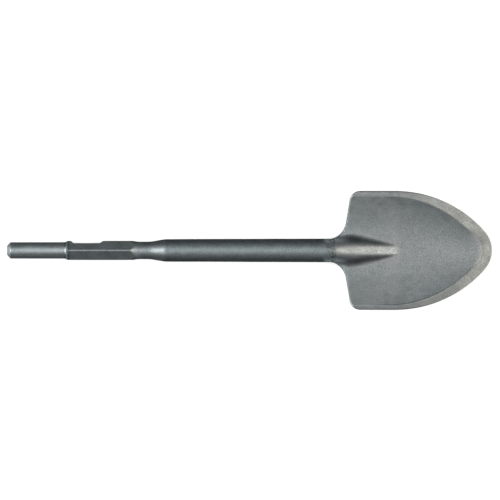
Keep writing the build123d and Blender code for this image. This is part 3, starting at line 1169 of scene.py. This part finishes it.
@dataclass(frozen=True)
class SteelFinish:
    """Shot-blasted forged steel, turned at the shank and ground round the blade's edge.

    Measures are in metres, apart from those of the mottle and the blob, which are in millimetres.
    """

    name: str = "forged_steel_finish"
    graze_tint: float = 0.12
    bump_strength: float = 0.6
    bump_distance: float = 0.00016
    grain_height: Spread = Spread(0.0, 1.0, (1.0, 0.35))
    line_height: float = 0.35
    turned_lines: tuple[float, float, float] = (2600.0, 70.0, 70.0)
    ground_lines: tuple[float, float, float] = (2.4, 0.14, 1.0)
    blade_colour: Spread = Spread(0.312, 0.345)
    nose_shade: Spread = Spread(0.405, 0.455)
    broad: Cloud = Cloud(16.0, 3.0, Spread(0.3, 0.7, (0.96, 1.04)))
    patchy: Cloud = Cloud(190.0, 4.0, Spread(0.3, 0.7, (0.95, 1.05)), 0.65)
    speckled: Spread = Spread(0.28, 0.72, (-0.24, 0.24))
    speckled_where_cut: Spread = Spread(0.0, 1.0, (1.0, 0.5))
    streaks: Spread = Spread(0.2, 0.8, (0.88, 1.12))
    streaks_where_ground: Spread = Spread(0.0, 1.0, (1.0, 0.45))
    rubbed: Cloud = Cloud(260.0, 3.0, Spread(0.35, 0.6, (0.6, 1.0)))
    worn_and_highlight_share: float = 0.66
    mottle_at: tuple[float, float] = (317.5, 325.5)
    mottle_fades: tuple[float, float] = (1.5, 1.0)
    mottle: Cloud = Cloud(420.0, 3.0, Spread(0.44, 0.58))
    mottle_share: float = 0.9
    blob_at: tuple[float, float] = (324.8, -6.1)
    blob_size: float = 1.1
    blob_core: float = 0.4
    blob_height: float = 2.0
    # share of the painted shade in the dark colour
    painted_shade_share: float = 0.85
    hollow_share: float = 0.35
    speck_share: float = 0.35
    # painted shade on flanks seen aslant
    flank_facing: Spread = Spread(0.03, 0.36)
    flank_sideways: Spread = Spread(0.15, 0.5)
    flank_depths: tuple[Spread, ...] = (
        Spread(0.312, 0.319, (0.72, 0.0)),
        Spread(0.331, 0.348, (0.0, 0.48)),
        Spread(0.324, 0.350, (0.05, 0.30)),
    )
    base_roughness: Spread = Spread(0.0, 1.0, (0.54, 0.46))
    patch_roughness: Cloud = Cloud(95.0, 3.0, Spread(0.3, 0.7, (-0.05, 0.05)))
    grain_roughness: Spread = Spread(0.3, 0.7, (0.04, -0.04))
    line_roughness: Spread = Spread(0.0, 1.0, (0.0, 0.06))
    worn_roughness: float = -0.10
    hollow_roughness: float = 0.08

    def build(self) -> bpy.types.Material:
        """Make the material.

        Returns:
            The material.
        """
        material = bpy.data.materials.new(self.name)
        material.use_nodes = True
        wiring = Wiring(material.node_tree)
        shader = material.node_tree.nodes["Principled BSDF"]
        place = wiring.add("TexCoord").outputs["Object"]
        blasting = wiring.add("Group", {"node_tree": Blasting().build()}, Vector=place)
        turned, ground = wiring.mark(Mark.TURNED), wiring.mark(Mark.GROUND)
        turning, grinding = self.tool_lines(wiring, place)
        lines = wiring.plus(wiring.times(turning, turned), wiring.times(grinding, ground))
        surface = Surface(wiring, place, blasting, lines, wiring.largest(turned, ground))
        grain = wiring.times(blasting.outputs["Height"], wiring.spread(surface.cut, *self.grain_height))
        height = wiring.plus(grain, wiring.times(lines, self.line_height))
        bump = wiring.add("Bump", Strength=self.bump_strength, Distance=self.bump_distance, Height=height)
        feeds = {
            "Base Color": self.painted_flank_shade(wiring, self.colour(surface)),
            "Roughness": self.roughness(surface),
            "Normal": bump.outputs["Normal"],
            "Metallic": 1.0,
            "Specular Tint": grey(self.graze_tint),
        }
        for name, value in feeds.items():
            wiring.feed(shader.inputs[name], value)
        return material

    def tool_lines(self, wiring: Wiring, place: Socket) -> list[Socket]:
        """Lines round the shank and lines across the ground bevel."""
        tree = ToolMarks().build()
        run, depth = wiring.mark(Mark.EDGE_RUN), wiring.mark(Mark.EDGE_DEPTH)
        along = wiring.add("CombineXYZ", X=run, Y=depth).outputs[0]
        scaled = wiring.stretched(place, self.turned_lines), wiring.stretched(along, self.ground_lines)
        return [wiring.add("Group", {"node_tree": tree}, Vector=lines).outputs["Height"] for lines in scaled]

    def colour(self, surface: Surface) -> Socket:
        """Colour of the steel, from its forging to its wear, with painted highlights and painted shade.

        Args:
            surface: What the colour is worked out from.

        Returns:
            The colour.
        """
        wiring, place, blasting, lines, cut = surface
        along = wiring.add("SeparateXYZ", Vector=place).outputs["X"]
        colour = wiring.blend(wiring.spread(along, *self.blade_colour), Tint.SHANK, Tint.BLADE)
        colour = wiring.blend(wiring.mark(Mark.TURNED), colour, Tint.TURNED)
        colour = wiring.blend(wiring.mark(Mark.MILLED), colour, Tint.MILLED)
        # painted shade: the ground bevel darkens towards the nose
        ground = wiring.blend(wiring.spread(along, *self.nose_shade), Tint.GROUND_SIDE, Tint.GROUND_NOSE_SHADED)
        colour = wiring.blend(wiring.mark(Mark.GROUND), colour, ground)
        clouds = wiring.times(wiring.clouded(place, self.broad), wiring.clouded(place, self.patchy))
        speckled = wiring.spread(blasting.outputs["Tone"], *self.speckled)
        speckled = wiring.times(speckled, wiring.spread(cut, *self.speckled_where_cut))
        plain = wiring.spread(wiring.mark(Mark.GROUND), *self.streaks_where_ground)
        streaks = wiring.times(wiring.minus(wiring.spread(lines, *self.streaks), 1.0), cut, plain)
        colour = wiring.shaded(colour, wiring.plus(clouds, speckled, streaks))
        # worn steel and painted highlights share one lighter colour
        worn = wiring.times(wiring.mark(Mark.WORN_AND_HIGHLIGHT), wiring.clouded(place, self.rubbed), self.worn_and_highlight_share)
        colour = wiring.blend(worn, colour, Tint.WORN_AND_HIGHLIGHT)
        # painted shade and dark marks go on top
        return wiring.blend(self.painted_shade_and_dark_marks(surface), colour, Tint.SCALE)

    def painted_shade_and_dark_marks(self, surface: Surface) -> Socket:
        """Mask of painted shade beside the ground bevel, on the rims and on the sides of the ring and
        chamfer, and of darker hollows, a dark mottle and blob at the blade's root, and dark specks.

        Args:
            surface: What the mask is worked out from.

        Returns:
            The mask.
        """
        wiring, place = surface.wiring, surface.place
        axes = wiring.add("SeparateXYZ", Vector=place).outputs
        (start, end), (outer, inner) = self.mottle_at, self.mottle_fades
        starts = wiring.spread(axes["X"], (start - outer) * MM, (start + inner) * MM)
        ends = wiring.spread(axes["X"], (end + outer) * MM, (end - inner) * MM)
        off_blob = wiring.add("VectorMath", {"operation": "DISTANCE"})
        wiring.feed(off_blob.inputs[0], wiring.stretched(place, (1.0, 1.0, 0.0)))
        wiring.feed(off_blob.inputs[1], (self.blob_at[0] * MM, self.blob_at[1] * MM, 0.0))
        blob = wiring.spread(off_blob.outputs["Value"], self.blob_size * MM, self.blob_core * MM)
        return wiring.largest(
            wiring.times(wiring.mark(Mark.SCALED), self.painted_shade_share),
            wiring.times(starts, ends, wiring.clouded(place, self.mottle), self.mottle_share),
            wiring.times(wiring.spread(axes["Z"], 0.0, self.blob_height * MM), blob),
            wiring.times(wiring.mark(Mark.HOLLOW), self.hollow_share),
            wiring.times(surface.blasting.outputs["Specks"], self.speck_share),
        )

    def painted_flank_shade(self, wiring: Wiring, colour: Socket) -> Socket:
        """Painted shade: darken the colour on flanks that are seen aslant.

        Args:
            wiring: The material's nodes.
            colour: The steel's colour.

        Returns:
            The colour, darkened.
        """
        facing = wiring.add("LayerWeight", Blend=0.5).outputs["Facing"]
        place = wiring.add("TexCoord").outputs
        normal = wiring.add("SeparateXYZ", Vector=place["Normal"]).outputs
        across, forward = (wiring.calculate("ABSOLUTE", normal[axis]) for axis in "YX")
        sideways = wiring.spread(wiring.minus(across, forward), *self.flank_sideways)
        aslant = wiring.times(wiring.spread(facing, *self.flank_facing), sideways)
        along = wiring.add("SeparateXYZ", Vector=place["Object"]).outputs["X"]
        depth = wiring.largest(*(wiring.spread(along, *depth) for depth in self.flank_depths))
        return wiring.shaded(colour, wiring.minus(1.0, wiring.times(aslant, depth)))

    def roughness(self, surface: Surface) -> Socket:
        """Roughness of the steel, smoother where it was cut or worn.

        Args:
            surface: What the roughness is worked out from.

        Returns:
            The roughness.
        """
        wiring, place, blasting, lines, cut = surface
        return wiring.plus(
            wiring.spread(cut, *self.base_roughness),
            wiring.clouded(place, self.patch_roughness),
            wiring.spread(blasting.outputs["Tone"], *self.grain_roughness),
            wiring.spread(lines, *self.line_roughness),
            wiring.times(wiring.mark(Mark.WORN_AND_HIGHLIGHT), self.worn_roughness),
            wiring.times(wiring.mark(Mark.HOLLOW), self.hollow_roughness),
        )


class Lamp(NamedTuple):
    """One soft lamp: where it stands, its width and height, its power in watts and its colour."""

    name: str
    place: tuple[float, float, float]
    size: tuple[float, float]
    power: float
    colour: tuple[float, float, float]


@dataclass(frozen=True)
class Studio:
    """Pale floor, soft lamps and a camera that looks straight down, in metres."""

    floor_height: float
    middle: tuple[float, float] = (0.2410, 0.0004)
    view_width: float = 0.496
    camera_height: float = 12.0
    sensor_width: float = 36.0
    far_clip: float = 30.0
    world_tone: float = 0.14
    floor_size: float = 3.0
    floor_tone: float = 0.55
    floor_roughness: float = 0.9
    floor_glow: float = 0.62
    lamps: tuple[Lamp, ...] = (
        Lamp("left_side", (-1.75, 0.08, 3.05), (2.6, 2.1), 112.0, (0.96, 0.99, 1.0)),
        Lamp("left_low", (-3.6, 0.08, 0.8), (1.4, 3.0), 22.0, (0.96, 0.99, 1.0)),
        Lamp("right_side", (2.7, 0.08, 3.0), (1.5, 2.1), 88.0, (1.0, 0.94, 0.84)),
    )

    def build(self) -> None:
        """Place the floor, the lamps, the world and the camera."""
        self.floor()
        for lamp in self.lamps:
            self.light(lamp)
        world = bpy.data.worlds.new("studio")
        bpy.context.scene.world = world
        world.use_nodes = True
        world.node_tree.nodes["Background"].inputs["Color"].default_value = grey(self.world_tone)
        self.camera()
        bpy.context.scene.view_settings.view_transform = "Standard"

    def floor(self) -> None:
        """Make the pale floor."""
        mesh = bmesh.new()
        bmesh.ops.create_grid(mesh, x_segments=2, y_segments=2, size=self.floor_size)
        bmesh.ops.translate(mesh, verts=mesh.verts, vec=(self.middle[0], 0.0, self.floor_height))
        floor = put_in("floor", mesh_data(mesh, "floor"))
        floor.data.materials.append(self.floor_finish())

    def floor_finish(self) -> bpy.types.Material:
        """Make the floor's finish, white to the camera and in the steel, and clear from underneath.

        Returns:
            The material.
        """
        material = bpy.data.materials.new("pale_floor")
        material.use_nodes = True
        wiring, nodes = Wiring(material.node_tree), material.node_tree.nodes
        rays = wiring.add("LightPath").outputs
        seen = wiring.largest(rays["Is Camera Ray"], rays["Is Glossy Ray"], rays["Is Transmission Ray"])
        shader = nodes["Principled BSDF"]
        feeds = {
            "Base Color": grey(self.floor_tone),
            "Roughness": self.floor_roughness,
            "Emission Color": grey(1.0),
            "Emission Strength": wiring.times(seen, self.floor_glow),
        }
        for name, value in feeds.items():
            wiring.feed(shader.inputs[name], value)
        underneath = wiring.add("NewGeometry").outputs["Backfacing"]
        clear = wiring.add("BsdfTransparent").outputs["BSDF"]
        one_sided = wiring.add("MixShader")
        for socket, value in zip(one_sided.inputs, (underneath, shader.outputs["BSDF"], clear)):
            wiring.feed(socket, value)
        wiring.feed(nodes["Material Output"].inputs["Surface"], one_sided.outputs["Shader"])
        return material

    def light(self, lamp: Lamp) -> None:
        """Add one soft lamp that faces the middle of the tool.

        Args:
            lamp: The lamp.
        """
        light = bpy.data.lights.new(lamp.name, "AREA")
        light.shape = "RECTANGLE"
        light.size, light.size_y = lamp.size
        light.energy = lamp.power
        light.color = lamp.colour
        item = put_in(lamp.name, light)
        item.location = lamp.place
        aim = Vector((self.middle[0], 0.0, 0.0)) - Vector(lamp.place)
        item.rotation_euler = aim.to_track_quat("-Z", "Y").to_euler()

    def camera(self) -> None:
        """Add the camera, far above the middle, with a long lens."""
        data = bpy.data.cameras.new("camera")
        data.sensor_width = self.sensor_width
        data.lens = self.sensor_width * self.camera_height / self.view_width
        data.clip_end = self.far_clip
        camera = put_in("camera", data)
        camera.location = (*self.middle, self.camera_height)
        bpy.context.scene.camera = camera


def main() -> None:
    """Build the tool, dress it and light it."""
    logging.basicConfig(level=logging.INFO, format="%(name)s: %(message)s")
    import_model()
    low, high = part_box(NODE)
    sizes = {"floor": low.z / MM, "crest": high.z / MM}
    forging = Forging(Shank(**sizes), Blade(length=high.x / MM, half_width=high.y / MM, **sizes))
    piece = forging.build()
    piece.data.materials.append(SteelFinish().build())
    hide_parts(NODE)
    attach(piece, "root")
    LOG.info("%s has %d faces", piece.name, len(piece.data.polygons))
    Studio(floor_height=low.z).build()


if __name__ == "__main__":
    main()
